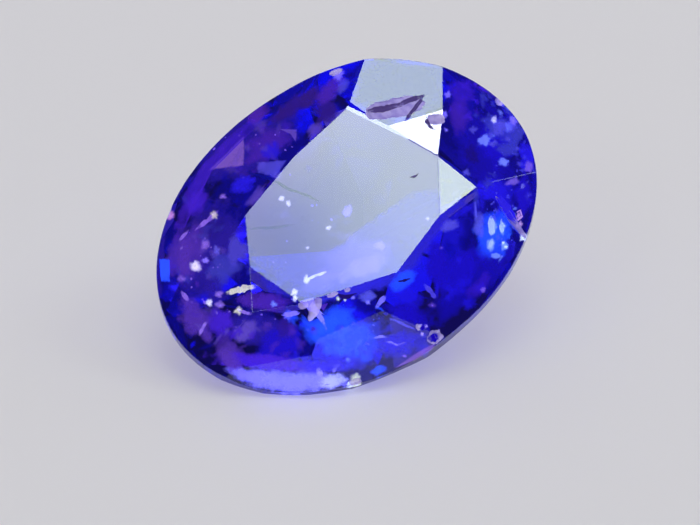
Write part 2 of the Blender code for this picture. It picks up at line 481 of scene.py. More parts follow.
def brokenMaterial():
    material, tree, shader = newMaterial("broken tanzanite", breaks["polish"])
    feed(tree, shader, {"IOR": crystal["ior"], "Transmission Weight": breaks["transmission"]})
    addAbsorption(tree)
    splinters = noiseOver(tree, objectPlace(tree), 1.0 / breaks["grain"], breaks["detail"])
    share = ramp(tree, splinters, *breaks["mixEdge"])
    colour = blend(tree, share, (*breaks["deep"], 1.0), (*breaks["pale"], 1.0))
    feed(tree, shader, {"Base Color": colour})
    addWear(tree, shader, breaks)
    return material


def strikeFlakes(cutters):
    for material in (polishedMaterial(), brokenMaterial()):
        for thing in [polished] + cutters:
            thing.data.materials.append(material)
    for cutter in cutters:
        for polygon in cutter.data.polygons:
            polygon.material_index = 1
        strike = polished.modifiers.new("strike", "BOOLEAN")
        strike.operation = "DIFFERENCE"
        strike.object = cutter
        strike.solver = "EXACT"
    depsgraph = bpy.context.evaluated_depsgraph_get()
    struck = bpy.data.meshes.new_from_object(polished.evaluated_get(depsgraph))
    polished.modifiers.clear()
    polished.data = struck
    for cutter in cutters:
        bpy.data.objects.remove(cutter)


strikeFlakes(cutters)
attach(polished, "root")
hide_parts("tanzanite")
print("stone dressed:", len(polished.data.polygons), "faces")
skin = BVHTree.FromPolygons([vertex.co for vertex in polished.data.vertices],
                            [polygon.vertices for polygon in polished.data.polygons])


# inside the stone: veils, feathers, grains and cracks, each given by the pixels where the photo shows it
# every piece here glows in its tint, which is painted light: the soft sheets, patches and flecks paint the
# stone's light and shade, the bright grains and glint lines are painted glints, and the dark lines on the
# chips' walls are painted shade
inside = {
    # painted light: each flaw glows in its tint at this strength, standing in for light that the flaws
    # scatter
    "glow": 0.9,                    # light that the flaws scatter
    "dullness": 0.6,
    "chipShare": 0.4,               # a hollow met before this share of the way through is a chip
    "before": 0.01,                 # mm outside the facet, where the search for a chip's hollow starts
    "rings": 7, "segments": 26,     # how finely a veil is meshed
    "waver": 0.38,                  # how ragged a veil's outline is
    "lobes": ((1.0, 1.1), (0.6, 2.9)),    # how strong and how fine the parts of that are
    "ripple": 0.12, "rippleNoise": 0.06,  # how unevenly deep a veil lies
    "shallowest": 0.02,             # mm
    "veilThickness": 0.12, "patchThickness": 0.05, "patchEdge": 3.0,
    "grainLumps": 0.8, "grainStretch": (0.2, 0.9),
    "strandPieces": 5,
    "strandTaper": 0.6, "strandTip": 0.08, "strandWobble": 1.2, "strandFlatness": 0.4,
}
# tints of the flaws; the dark ones paint shade, the pale ones paint light and glints
tints = {
    "white": (0.80, 0.92, 0.96), "cream": (0.70, 0.80, 0.50), "pink": (0.55, 0.36, 0.62),
    "lilac": (0.28, 0.20, 0.62), "lavender": (0.30, 0.28, 0.90), "ice": (0.26, 0.42, 0.92),
    "glint": (0.48, 0.62, 0.98), "sky": (0.13, 0.14, 0.60), "haze": (0.055, 0.07, 0.41),
    "azure": (0.03, 0.14, 1.0), "blue": (0.022, 0.014, 0.58), "table blue": (0.05, 0.045, 0.50),
    "dim blue": (0.008, 0.012, 0.32), "deep blue": (0.014, 0.005, 0.43), "navy": (0.008, 0.002, 0.34),
    "dusty blue": (0.08, 0.08, 0.47), "rim violet": (0.065, 0.02, 0.50), "violet": (0.08, 0.025, 0.36),
    "dark violet": (0.035, 0.012, 0.20), "grey violet": (0.13, 0.09, 0.42), "mauve": (0.21, 0.14, 0.42),
    "purple": (0.10, 0.045, 0.36), "brim": (0.20, 0.20, 0.88), "pale brim": (0.42, 0.46, 0.92),
    "left ground": (0.032, 0.018, 0.28), "right ground": (0.012, 0.005, 0.32),
    "crack": (0.0, 0.005, 0.20), "shade": (0.06, 0.04, 0.15), "ink": (0.012, 0.004, 0.12),
}


def placeFlaw(place, depth):
    # a spot that many millimetres under the surface that the camera sees here, chips counted
    spot, inward, room = enterCrystal(place)
    before = inside["before"] * mm
    met, normal, index, far = skin.ray_cast(spot - inward * before, inward)
    hollow = max(far - before, 0.0) if met is not None and far < inside["chipShare"] * room else 0.0
    return spot + inward * min(hollow + depth * mm, sight["deepest"] * room), inward


def newFlaws():
    shape = bmesh.new()
    shape.verts.layers.float.new("fade")
    shape.verts.layers.float_color.new("tint")
    return shape


def markVertex(shape, vertex, tint, strength, fade):
    vertex[shape.verts.layers.float["fade"]] = fade
    vertex[shape.verts.layers.float_color["tint"]] = (*tints[tint], strength)


def ovalOutline(middle, radii, turn, seed, waver):
    # an uneven oval in pixels; turn is in degrees, from right towards the top
    spin = math.radians(turn)
    (strong, coarse), (weak, fine) = inside["lobes"]
    points = []
    for step in range(inside["segments"]):
        angle = 2.0 * math.pi * step / inside["segments"]
        spot = Vector((math.cos(angle), math.sin(angle), 0.7 * seed))
        swell = 1.0 + waver * (strong * noise.noise(spot * coarse) + weak * noise.noise(spot * fine))
        x, y = radii[0] * swell * math.cos(angle), radii[1] * swell * math.sin(angle)
        points.append((middle[0] + x * math.cos(spin) + y * math.sin(spin),
                       middle[1] + x * math.sin(-spin) + y * math.cos(spin)))
    return points


def divide(a, b, count):
    # that many points in even steps from a towards b, without b itself
    return [(a[0] + (b[0] - a[0]) * k / count, a[1] + (b[1] - a[1]) * k / count) for k in range(count)]


def cornerOutline(corners):
    # straight sides between corners given in pixels, with the points spread evenly along them
    loop = corners[1:] + corners[:1]
    lengths = [math.dist(a, b) for a, b in zip(corners, loop)]
    points = []
    for a, b, length in zip(corners, loop, lengths):
        points.extend(divide(a, b, max(2, round(inside["segments"] * length / sum(lengths)))))
    return points


def addVeil(shape, outline, depth, thickness, tint, strength, edge):
    # a thin closed lens that fills the outline and fades towards its rim; edge is 1 for a soft rim
    # and more for one that stays full almost to the end
    middle = (sum(x for x, y in outline) / len(outline), sum(y for x, y in outline) / len(outline))
    layers = []
    for side in (-0.5, 0.5):
        rows = []
        for ring in range(inside["rings"]):
            share = ring / (inside["rings"] - 1)
            row = []
            for x, y in (outline if ring else outline[:1]):
                place = (middle[0] + (x - middle[0]) * share, middle[1] + (y - middle[1]) * share)
                waves = noise.noise(Vector((place[0], place[1], 9.0)) * inside["rippleNoise"])
                full = side * thickness * (1.0 - share ** 2)
                down = depth + inside["ripple"] * depth * waves + full
                spot = placeFlaw(place, max(down, inside["shallowest"]))[0]
                row.append((spot, 1.0 - share ** (2.0 * edge)))
            rows.append(row)
        layers.append(rows)
    rim = [shape.verts.new(0.5 * (a[0] + b[0])) for a, b in zip(layers[0][-1], layers[1][-1])]
    for vertex in rim:
        markVertex(shape, vertex, tint, strength, 0.0)
    for rows, turned in ((layers[0], True), (layers[1], False)):
        made = []
        for row in rows[:-1]:
            line = [shape.verts.new(spot) for spot, fade in row]
            for vertex, (spot, fade) in zip(line, row):
                markVertex(shape, vertex, tint, strength, fade)
            made.append(line)
        made.append(rim)
        for inner, outer in zip(made, made[1:]):
            count = len(outer)
            for k in range(count):
                after = (k + 1) % count
                corners = [inner[k % len(inner)], outer[k], outer[after]]
                if len(inner) > 1:
                    corners.append(inner[after])
                shape.faces.new(corners if turned else corners[::-1])


def addGrain(shape, place, depth, size, tint, strength, rng):
    # a tiny crystal, stretched one way, with uneven flat faces
    spot = placeFlaw(place, depth)[0]
    grain = bmesh.ops.create_icosphere(shape, subdivisions=1, radius=0.5 * size * pixel)
    along = Vector((rng.uniform(-1.0, 1.0), rng.uniform(-1.0, 1.0), rng.uniform(-0.6, 0.6))).normalized()
    stretch = rng.uniform(*inside["grainStretch"])
    offset = Vector((rng.uniform(0.0, 30.0), 0.0, 0.0))
    for vertex in grain["verts"]:
        push = 1.0 + inside["grainLumps"] * noise.noise(vertex.co.normalized() * 1.9 + offset)
        vertex.co = spot + (vertex.co + along * vertex.co.dot(along) * stretch) * push
        markVertex(shape, vertex, tint, strength, 1.0)


def addStrand(shape, route, width, depth, tint, strength):
    # a hair-like crack or needle with tapering ends, also used for painted glint lines and painted shade
    # lines; the route is in pixels
    rows = []
    points = [point for a, b in zip(route, route[1:]) for point in divide(a, b, inside["strandPieces"])]
    points.append(route[-1])
    for step, (x, y) in enumerate(points):
        share = min(max(step / (len(points) - 1), 0.03), 0.97)
        taper = max(inside["strandTip"], math.sin(math.pi * share) ** inside["strandTaper"])
        taper *= 1.0 + 0.5 * noise.noise(Vector((x, y, 8.0)) * 0.35)
        wobble = inside["strandWobble"] * noise.noise(Vector((x, y, 3.0)) * 0.15)
        spot, inward = placeFlaw((x, y + wobble), depth)
        ahead = Vector(points[min(step + 1, len(points) - 1)]) - Vector(points[max(step - 1, 0)])
        along = (imageRight * ahead.x - imageUp * ahead.y).normalized()
        half = 0.5 * width * pixel * taper
        across = along.cross(inward).normalized() * half
        thick = inward * inside["strandFlatness"] * half
        row = [shape.verts.new(spot + offset) for offset in (across, thick, -across, -thick)]
        for vertex in row:
            markVertex(shape, vertex, tint, strength, min(taper, 1.0))
        rows.append(row)
    for before, after in zip(rows, rows[1:]):
        for k in range(4):
            shape.faces.new((before[k], before[(k + 1) % 4], after[(k + 1) % 4], after[k]))
    shape.faces.new(rows[0][::-1])
    shape.faces.new(rows[-1])


def flawMaterial(name, grainSize, mottling):
    # see-through where it is faint, with an edge broken up by noise; the tint, the strength (the tint's
    # alpha) and the fade lie in the mesh. It glows in its own tint, which is painted light, as no lamp
    # lights it
    material, tree, shader = newMaterial(name, inside["dullness"])
    fade = addNode(tree, "ShaderNodeAttribute", attribute_name="fade")
    tint = addNode(tree, "ShaderNodeAttribute", attribute_name="tint")
    mottle = noiseOver(tree, objectPlace(tree), 1.0 / grainSize, 4.0, 0.65)
    loss = ramp(tree, mottle, 0.3, 0.7, -mottling, 0.0, kind="LINEAR")
    left = compute(tree, "MULTIPLY_ADD", fade.outputs["Fac"], 1.0 + 0.5 * mottling, loss)
    alpha = compute(tree, "MULTIPLY", ramp(tree, left, 0.0, 1.0), tint.outputs["Alpha"], clamp=True)
    feed(tree, shader, {"Base Color": tint.outputs["Color"], "Emission Color": tint.outputs["Color"],
                        "Alpha": alpha, "Emission Strength": inside["glow"], "Specular IOR Level": 0.0})
    return material


def addFlaws(name, shape, material):
    bmesh.ops.recalc_face_normals(shape, faces=shape.faces)
    piece = addObject(name, meshFrom(shape, name))
    piece.data.materials.append(material)
    piece.visible_shadow = False
    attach(piece, "root")
    print(name, "made:", len(piece.data.polygons), "faces")


# soft glowing sheets of painted light and shade, the dark ones painted shade and the azure, ice and pale
# ones painted light: middle, radii in pixels, turn, depth in mm, tint, strength
light_and_shade_veils = {
    "left ground": ((210, 250), (50, 66), -14, 0.95, "left ground", 0.9),
    "upper left ground": ((262, 142), (82, 25), 42, 0.95, "left ground", 0.85),
    "lower left ground": ((258, 330), (54, 26), -18, 0.85, "left ground", 0.85),
    "right ground": ((488, 166), (88, 30), -62, 0.95, "right ground", 0.85),
    "lower right ground": ((468, 282), (82, 30), 43, 0.95, "right ground", 0.85),
    "navy by the table": ((436, 266), (15, 32), 0, 0.25, "deep blue", 0.95),
    "violet left end": ((186, 250), (25, 46), -14, 0.5, "purple", 0.6),
    "left dark": ((212, 222), (24, 17), 60, 0.45, "ink", 0.2),
    "left purple": ((186, 256), (13, 22), 0, 0.4, "purple", 0.7),
    "left blue": ((226, 266), (26, 20), 20, 0.35, "haze", 0.6),
    "lighter by the table's left": ((238, 253), (14, 23), -8, 0.25, "dusty blue", 0.95),
    "lower left facet": ((222, 323), (19, 18), 30, 0.35, "rim violet", 0.75),
    "under the lower left facet": ((232, 352), (24, 14), -25, 0.4, "purple", 0.7),
    "lower left dusk": ((247, 331), (17, 12), 20, 0.3, "grey violet", 0.75),
    "lower left shade": ((196, 318), (18, 34), 35, 0.35, "purple", 0.75),
    "bottom left glow": ((280, 346), (34, 22), 10, 0.35, "deep blue", 0.85),
    "ground over the brim": ((272, 362), (64, 13), -5, 0.2, "rim violet", 0.9),
    "left end of the brim": ((234, 361), (24, 12), -35, 0.12, "purple", 0.9),
    "over the brim": ((262, 359), (42, 10), -8, 0.08, "rim violet", 0.7),
    "over the brim, right": ((334, 364), (50, 9), 2, 0.08, "blue", 0.7),
    "dark at the glow's left": ((288, 328), (18, 14), 70, 0.3, "dark violet", 0.6),
    "under the feather": ((262, 301), (34, 13), -8, 0.25, "violet", 0.9),
    "azure glow": ((346, 334), (48, 32), -8, 0.7, "azure", 0.6),
    "azure glow's bright heart": ((336, 324), (30, 22), 20, 0.5, "azure", 0.6),
    "azure glow to the left": ((314, 328), (20, 18), 0, 0.6, "azure", 0.4),
    "azure corner": ((402, 280), (18, 11), 35, 0.4, "azure", 0.75),
    "blue beside the azure corner": ((408, 297), (24, 14), -35, 0.5, "blue", 0.6),
    "azure foot": ((379, 369), (12, 6), 20, 0.2, "azure", 0.7),
    "periwinkle by the flap": ((367, 296), (13, 7), 10, 0.2, "sky", 0.7),
    "upper left blue": ((243, 185), (17, 11), 20, 0.35, "blue", 0.9),
    "left of the upper left blue": ((198, 203), (13, 18), -30, 0.3, "rim violet", 0.6),
    "upper left haze": ((266, 146), (34, 23), 40, 0.5, "violet", 0.6),
    "upper left navy": ((270, 152), (14, 11), 10, 0.35, "blue", 0.6),
    "top left haze": ((296, 106), (38, 13), 30, 0.35, "dark violet", 0.75),
    "top left rim": ((258, 114), (20, 9), 35, 0.1, "violet", 0.7),
    "shade by the table's top": ((328, 112), (19, 14), 35, 0.25, "dark violet", 0.8),
    "haze left of the quad": ((330, 90), (26, 11), 45, 0.2, "violet", 0.85),
    "haze at the top left": ((309, 98), (20, 9), 35, 0.2, "dark violet", 0.85),
    "lighter patch by the top": ((316, 131), (12, 9), 45, 0.3, "grey violet", 0.6),
    "blue under the top spot": ((342, 86), (12, 8), 60, 0.2, "sky", 0.45),
    "band by the table": ((258, 196), (17, 7), 48, 0.3, "grey violet", 0.5),
    "cloud on the right": ((496, 138), (29, 36), -20, 0.5, "deep blue", 0.9),
    "cloud's heart": ((499, 131), (22, 18), -40, 0.4, "haze", 0.85),
    "cloud's white blue": ((500, 127), (11, 12), -20, 0.3, "sky", 0.7),
    "cloud's lilac side": ((511, 127), (9, 8), -30, 0.3, "sky", 0.6),
    "cloud's crescent": ((484, 141), (9, 7), 50, 0.3, "ice", 0.8),
    "cloud's foot": ((506, 150), (12, 11), 0, 0.3, "haze", 0.7),
    "cloud by the rim": ((516, 137), (9, 18), -20, 0.25, "haze", 0.8),
    "azure by the right rim": ((503, 163), (7, 6), 0, 0.3, "ice", 0.8),
    "lilac by the right rim": ((528, 167), (6, 9), 0, 0.15, "lilac", 0.7),
    "pink haze on the right": ((512, 182), (10, 5), 20, 0.2, "lilac", 0.6),
    "violet under the wedge": ((459, 118), (13, 24), -5, 0.5, "violet", 0.6),
    "dark by the cloud": ((471, 155), (9, 15), 20, 0.4, "ink", 0.4),
    "upper right haze": ((462, 90), (20, 17), -30, 0.5, "rim violet", 0.45),
    "right middle": ((494, 192), (26, 19), -20, 0.5, "blue", 0.8),
    "far right": ((523, 196), (11, 26), 0, 0.2, "deep blue", 0.85),
    "far right, high": ((527, 158), (11, 20), 10, 0.2, "blue", 0.8),
    "right glow": ((492, 234), (24, 32), -8, 0.5, "azure", 0.55),
    "streak block": ((491.5, 227), (5.5, 10), 4, 0.3, "ice", 1),
    "streak block 2": ((501.5, 228), (3.6, 9), 0, 0.3, "ice", 0.9),
    "streak block 3": ((490, 244), (6, 9), -12, 0.3, "ice", 0.9),
    "streak block 4": ((503, 246), (5, 7), 0, 0.3, "ice", 0.75),
    "streak block 5": ((494.5, 256), (6, 4), 0, 0.3, "ice", 0.6),
    "pale brim": ((296, 380), (66, 14), -1, 0.06, "brim", 1),
    "pale brim to the left": ((252, 375), (34, 10), -16, 0.05, "brim", 0.75),
    "paler end of the brim": ((333, 380), (19, 10), 5, 0.04, "pale brim", 0.8),
    "streak haze": ((478, 224), (8, 17), 8, 0.4, "sky", 0.6),
    "lavender by the table": ((449, 226), (11, 8), 20, 0.3, "sky", 0.75),
    "navy right": ((460, 272), (34, 26), 50, 0.5, "deep blue", 0.9),
    "navy low right": ((452, 306), (26, 13), 45, 0.4, "navy", 0.4),
    "low right blue": ((478, 286), (10, 22), -35, 0.3, "rim violet", 0.35),
    "navy under the corner": ((407, 313), (30, 12), -25, 0.3, "deep blue", 0.85),
    "blue lower band": ((398, 342), (36, 17), 15, 0.3, "blue", 0.9),
    "dark in the lower band": ((418, 341), (13, 8), 20, 0.3, "navy", 0.5),
    "table's lower half": ((352, 262), (54, 27), 22, 0.7, "lavender", 0.2),
    "table glow": ((364, 266), (34, 14), 22, 0.5, "lavender", 0.4),
    "table glow's spot": ((379, 246), (8, 6), 0, 0.4, "lavender", 0.7),
    "table's lower corner": ((318, 283), (26, 14), 15, 0.5, "lavender", 0.15),
    "table's blue mark": ((348, 211), (7, 8), -10, 0.4, "lavender", 0.75),
}
# painted light and shade with straight sides: the dark ones are painted shade on the facets over them, the
# paler ones painted light
light_and_shade_patches = {    # veils with straight sides: corners in pixels, depth in mm, tint, strength
    "blue behind the upper quad": (((354, 66), (384, 56), (446, 64), (447, 112), (396, 124),
                                   (345, 106)), 0.45, "dim blue", 0.95),
    "blue behind the star facet": (((434, 150), (482, 187), (438, 212)), 0.6, "dim blue", 0.95),
    "blue under the table": (((238, 258), (300, 266), (340, 242), (372, 216), (418, 184), (486, 172),
                             (456, 224), (408, 288), (304, 314), (250, 290)), 0.95, "table blue", 0.95),
    "left rim": (((170, 236), (180, 200), (203, 163), (233, 130), (258, 111), (266, 118), (240, 141),
                 (212, 172), (193, 204), (181, 238)), 0.12, "rim violet", 0.35),
    "lilac triangle": (((246, 134), (207, 172), (246, 167)), 0.2, "mauve", 0.95),
    "lilac chevron": (((278, 129), (298, 130), (297, 144), (291, 135)), 0.2, "grey violet", 0.9),
    "violet kite": (((255, 162), (289, 160), (277, 180), (257, 174)), 0.3, "sky", 0.45),
    "azure tile at the left": (((160, 257.5), (171.5, 258), (172.5, 283), (162, 283)), 0.1, "azure",
                               0.85),
    "lavender shard": (((299, 300), (314, 296), (317, 306), (326, 315), (309, 311)), 0.02, "lavender",
                       0.9),
    "dark wedge by the shard": (((318, 305), (329, 302), (324, 311)), 0.02, "violet", 0.9),
    "dark flap": (((335, 292.5), (346, 294.5), (359, 292), (348, 299.5), (340, 298)), 0, "ink", 0.95),
    "pink rim": (((391, 369), (407, 357), (425, 346), (438, 340), (434, 347), (414, 360)), 0.02, "pink",
                 0.25),
}
# real grains in the stone whose brightness is painted: each glows as a painted glint inside a glowing halo
# of painted light
glinting_grains = {     # bright specks: middle, size in pixels, tint, strength
    "left": (((224, 197), 7, "lilac", 0.8), ((214, 215), 9, "cream", 0.8),
             ((206, 243.5), 11, "lilac", 1), ((218, 251.5), 9, "sky", 1),
             ((207.5, 260.5), 8, "lavender", 0.9), ((197, 266), 12, "white", 1),
             ((183, 278), 8, "lilac", 0.7), ((170.5, 215.5), 10, "pink", 1),
             ((211.3, 302.5), 9, "white", 1), ((220, 294), 9, "lilac", 0.9),
             ((222, 305), 10, "lilac", 0.9), ((240, 309), 9, "cream", 1), ((275, 303.5), 8, "ice", 0.6),
             ((289, 315), 10, "lavender", 1)),
    "table": (((295, 291), 8, "white", 1), ((295.5, 298), 7, "white", 1), ((307, 279.5), 9, "white", 1),
              ((282.5, 199), 7, "white", 0.8), ((289, 204), 7, "white", 0.7),
              ((328, 228), 7, "white", 0.6), ((308, 248), 5, "white", 0.4),
              ((427, 219), 5, "white", 0.4)),
    "right": (((501, 102), 10, "lavender", 1), ((513, 121), 10, "lavender", 0.9),
              ((494, 121), 8, "white", 0.8), ((521.5, 187), 6, "white", 1),
              ((517, 216), 6, "pink", 0.9), ((519, 224), 6, "pink", 0.8), ((522.5, 238), 9, "white", 1),
              ((448, 94.5), 8, "lavender", 0.8), ((444.5, 115), 7, "lavender", 0.9),
              ((446, 131), 5, "lavender", 0.6), ((502, 243), 4, "white", 0.8),
              ((505, 247), 4, "white", 0.8), ((503, 226), 4, "white", 0.6),
              ((440.5, 248), 4, "lilac", 0.7)),
    "lower": (((338.5, 298.5), 5, "cream", 0.9), ((345, 299.5), 4, "cream", 0.8),
              ((353, 297.5), 5, "lavender", 0.9), ((368, 301.5), 6, "lavender", 0.9),
              ((431.5, 305), 8, "lilac", 0.4), ((356, 379), 14, "cream", 1),
              ((350, 383), 7, "white", 0.9), ((338.5, 75.5), 14, "lavender", 0.9),
              ((482, 289.5), 7, "lilac", 1), ((425, 326), 5, "white", 0.9),
              ((419.5, 325), 4, "white", 0.8), ((421, 333), 5, "white", 1),
              ((432, 332), 5, "white", 0.8), ((437, 330.5), 4, "white", 0.8)),
}
# the cracks and the feather are the stone's own flaws, shown glowing; the glint and pale lines are painted
# glints; the dark dash and the lines laid on the chips' walls in shade, navy and blue are painted shade
strands = {    # cracks, wisps and needles: route, width in pixels, depth in mm, tint, strength
    "long crack": (((237, 171), (260.5, 176), (276, 182), (288, 189), (310, 197), (326, 206)), 3.2, 0.3,
                   "crack", 0.95),
    "faint crack": (((246, 229), (272, 228), (300, 225)), 2.8, 0.5, "crack", 0.5),
    "pit's upper wall": (((365, 112.5), (377, 110.5), (390, 108), (408, 102.5)), 7.5, -0.012, "shade",
                         1),
    "pit's upper tip": (((394, 106.5), (406, 101.5), (415, 98.8), (427, 96)), 5.5, -0.012, "shade", 1),
    "pit's right wall": (((424, 96.5), (417, 105.5), (411, 114), (403.5, 124)), 4.5, -0.012, "shade",
                         1),
    "nick's wall": (((426, 117), (426.5, 123), (429.5, 128), (434.5, 129.8)), 3.6, -0.012, "shade", 1),
    "wisp": (((220, 210), (209, 221), (196, 231)), 5, 0.25, "lilac", 0.9),
    "lower wisp": (((190, 230), (180, 242)), 4.5, 0.25, "lilac", 0.85),
    "left streak": (((182, 290), (191, 302)), 5, 0.15, "lilac", 0.95),
    "cream feather": (((226, 292.5), (236, 291), (247, 288), (263, 285)), 7, 0.12, "cream", 1),
    "grain's tail": (((238, 308.5), (246, 311.5), (255, 313.5)), 3.5, 0.15, "lilac", 1),
    "table needle": (((306, 280), (318, 275), (329, 271)), 3, 0.3, "white", 0.6),
    "dark dash": (((409, 178), (414, 177), (418, 174)), 2.4, 0, "shade", 1),
    "light left edge": (((200, 336), (204, 328), (209, 320)), 3.5, 0.05, "lilac", 0.8),
    "corner streak": (((386, 294), (375, 308)), 5, 0.15, "lavender", 0.7),
    "right corner streak": (((422.5, 284), (430, 291), (436, 300)), 5, 0.2, "sky", 0.8),
    "lump's dark middle": (((427.5, 339.5), (433, 336), (439.5, 332.5)), 12, -0.012, "navy", 1),
    "small lump's dark middle": (((418.5, 328.5), (424, 326)), 4, -0.012, "navy", 1),
    "over the right chip": (((495, 194.5), (502, 204), (509, 213.5), (517, 225)), 9, -0.012, "blue", 1),
    "dark slit": (((396, 281), (403, 280.5), (411, 277.5)), 2.6, 0.1, "ink", 1),
    "shard streak": (((313, 306), (320, 315), (327, 328)), 5, 0.1, "lavender", 0.8),
    "lilac ridge at the table's foot": (((282, 314), (292, 313), (301, 311)), 5, 0.1, "lavender", 0.9),
    "arc": (((371, 338), (378, 336), (389, 336)), 2.6, 0.12, "lavender", 0.7),
    "lower arc": (((384, 341), (391, 341.2), (396, 343.6), (407, 341.5)), 2.2, 0.12, "lavender", 0.6),
    "pale facet line": (((388, 317), (401, 322.5), (419, 332)), 2.4, 0.02, "sky", 0.95),
    "rim streak": (((400, 353), (407, 356)), 2.4, 0.1, "lilac", 0.8),
    "rising streak": (((318, 365), (320, 371), (321, 380)), 6, 0.1, "lavender", 0.8),
    "second rising streak": (((332, 372), (336, 366), (341, 360)), 4, 0.15, "lavender", 0.6),
    "third rising streak": (((347, 362), (349.5, 356)), 5, 0.2, "ice", 0.5),
    "right line": (((474, 200), (475, 222)), 2.4, 0.3, "sky", 0.9),
    "right glint": (((489.5, 215), (491, 237)), 7, 0.2, "glint", 0.95),
    "right glint 2": (((500, 219), (501, 234)), 4.5, 0.2, "glint", 0.9),
    "right glint 3": (((492, 237), (487.5, 251)), 5, 0.2, "glint", 0.7),
    "brim ring": (((514, 213), (519, 211), (521, 217), (516, 221), (514, 213)), 2, 0.05, "pink", 1),
}
# small glowing specks of painted light and shade: the navy and near-black ones are painted shade, the sky,
# ice and azure ones painted light
light_and_shade_flecks = {     # small ragged veils: middle and spread in pixels, how many, tints, size, strength
    "cloud": ((499, 133), (17, 25), 34, ("sky", "haze", "haze", "ice"), 9, 0.6),
    "upper right": ((468, 108), (17, 24), 16, ("haze", "rim violet"), 12, 0.4),
    "right rim": ((524, 168), (5, 34), 14, ("sky", "haze"), 8, 0.6),
    "streaks": ((495, 236), (13, 20), 14, ("ice", "sky", "azure"), 8, 0.45),
    "right middle": ((478, 200), (22, 18), 12, ("blue", "haze"), 14, 0.4),
    "navy": ((455, 284), (28, 26), 16, ("blue", "navy", "ink"), 15, 0.5),
    "left": ((200, 252), (21, 36), 26, ("grey violet", "violet", "haze", "ink"), 13, 0.3),
    "upper left": ((258, 148), (32, 28), 24, ("grey violet", "violet", "rim violet"), 15, 0.25),
    "lower left": ((238, 326), (28, 20), 22, ("purple", "rim violet", "violet", "grey violet"), 15,
                   0.3),
    "bottom left": ((286, 345), (26, 18), 12, ("blue", "navy", "violet"), 15, 0.4),
    "azure": ((344, 332), (34, 22), 20, ("azure", "blue", "azure"), 16, 0.35),
    "lower band": ((406, 334), (24, 16), 12, ("blue", "navy"), 14, 0.4),
    "brim": ((296, 380), (34, 7), 10, ("lavender", "brim", "haze"), 16, 0.5),
    "table": ((340, 215), (52, 52), 10, ("lavender", "brim"), 18, 0.1),
}
# tiny real specks in the stone, glowing in their tint: their brightness is painted light
dust = {       # loose dust: middle and spread in pixels, how many, tint, size
    "left dust": ((205, 265), (30, 45), 20, "lilac", 1.9),
    "lower left dust": ((240, 320), (34, 22), 12, "lilac", 1.8),
    "table dust": ((320, 220), (50, 55), 10, "lavender", 1.7),
    "right dust": ((500, 200), (22, 70), 30, "sky", 1.9),
    "lower dust": ((370, 330), (50, 26), 16, "sky", 1.8),
    "upper left dust": ((262, 150), (36, 30), 12, "lilac", 1.7),
}

scatter = {
    "seed": 11,
    "grainDepth": (0.10, 0.25),                 # mm
    # a grain's glowing heart and its halo are painted glints
    "heart": 0.22, "heartWhite": 0.85,          # a grain against its halo; from what strength it is white
    "halo": (0.64, 0.54), "haloWaver": 0.5, "haloStrength": 0.75,
    "haloDrop": 0.03, "haloThickness": 0.02,    # mm
    "softEdge": 0.8,
    "fleckReach": 0.6, "fleckWidth": (0.35, 0.75), "fleckShape": (0.35, 0.9), "fleckWaver": 0.8,
    "fleckDepth": (0.15, 0.5), "fleckThickness": 0.03, "fleckStrength": (0.5, 1.2),
    "dustReach": 0.5, "dustSize": (0.5, 1.3), "dustDepth": (0.15, 0.8), "dustStrength": (0.3, 0.9),
}


def nearby(middle, spread, reach, rng):
    return rng.gauss(middle[0], reach * spread[0]), rng.gauss(middle[1], reach * spread[1])


# painted light and shade: the soft sheets and the patches with straight sides glow as one piece
veilShape = newFlaws()
for number, (middle, radii, turn, depth, tint, strength) in enumerate(light_and_shade_veils.values()):
    outline = ovalOutline(middle, radii, turn, number, inside["waver"])
    addVeil(veilShape, outline, depth, inside["veilThickness"], tint, strength, 1.0)
for corners, depth, tint, strength in light_and_shade_patches.values():
    outline = cornerOutline(list(corners))
    addVeil(veilShape, outline, depth, inside["patchThickness"], tint, strength, inside["patchEdge"])
addFlaws("light_and_shade_veils", veilShape, flawMaterial("veil", 0.30 * mm, 0.8))

grainShape = newFlaws()
fleckShape = newFlaws()
rng = random.Random(scatter["seed"])
for group in glinting_grains.values():
    for place, size, tint, strength in group:
        depth = rng.uniform(*scatter["grainDepth"])
        heart = "white" if strength > scatter["heartWhite"] and tint in ("white", "cream") else tint
        addGrain(grainShape, place, depth, scatter["heart"] * size, heart, 1.0, rng)
        radii = [share * size for share in scatter["halo"]]
        outline = ovalOutline(place, radii, rng.uniform(0.0, 180.0), rng.uniform(0.0, 9.0),
                              scatter["haloWaver"])
        addVeil(fleckShape, outline, depth + scatter["haloDrop"], scatter["haloThickness"], tint,
                scatter["haloStrength"] * strength, scatter["softEdge"])
for middle, spread, count, colours, size, strength in light_and_shade_flecks.values():
    for each in range(count):
        place = nearby(middle, spread, scatter["fleckReach"], rng)
        across = size * rng.uniform(*scatter["fleckWidth"])
        radii = (across, across * rng.uniform(*scatter["fleckShape"]))
        outline = ovalOutline(place, radii, rng.uniform(0.0, 180.0), rng.uniform(0.0, 30.0),
                              scatter["fleckWaver"])
        addVeil(fleckShape, outline, rng.uniform(*scatter["fleckDepth"]), scatter["fleckThickness"],
                rng.choice(colours), strength * rng.uniform(*scatter["fleckStrength"]), scatter["softEdge"])
for middle, spread, count, tint, size in dust.values():
    for each in range(count):
        place = nearby(middle, spread, scatter["dustReach"], rng)
        big = size * rng.uniform(*scatter["dustSize"])
        addGrain(grainShape, place, rng.uniform(*scatter["dustDepth"]), big, tint,
                 rng.uniform(*scatter["dustStrength"]), rng)
addFlaws("glinting_grains", grainShape, flawMaterial("bright grain", 0.5 * mm, 0.1))
addFlaws("light_and_shade_flecks", fleckShape, flawMaterial("fleck", 0.10 * mm, 0.4))

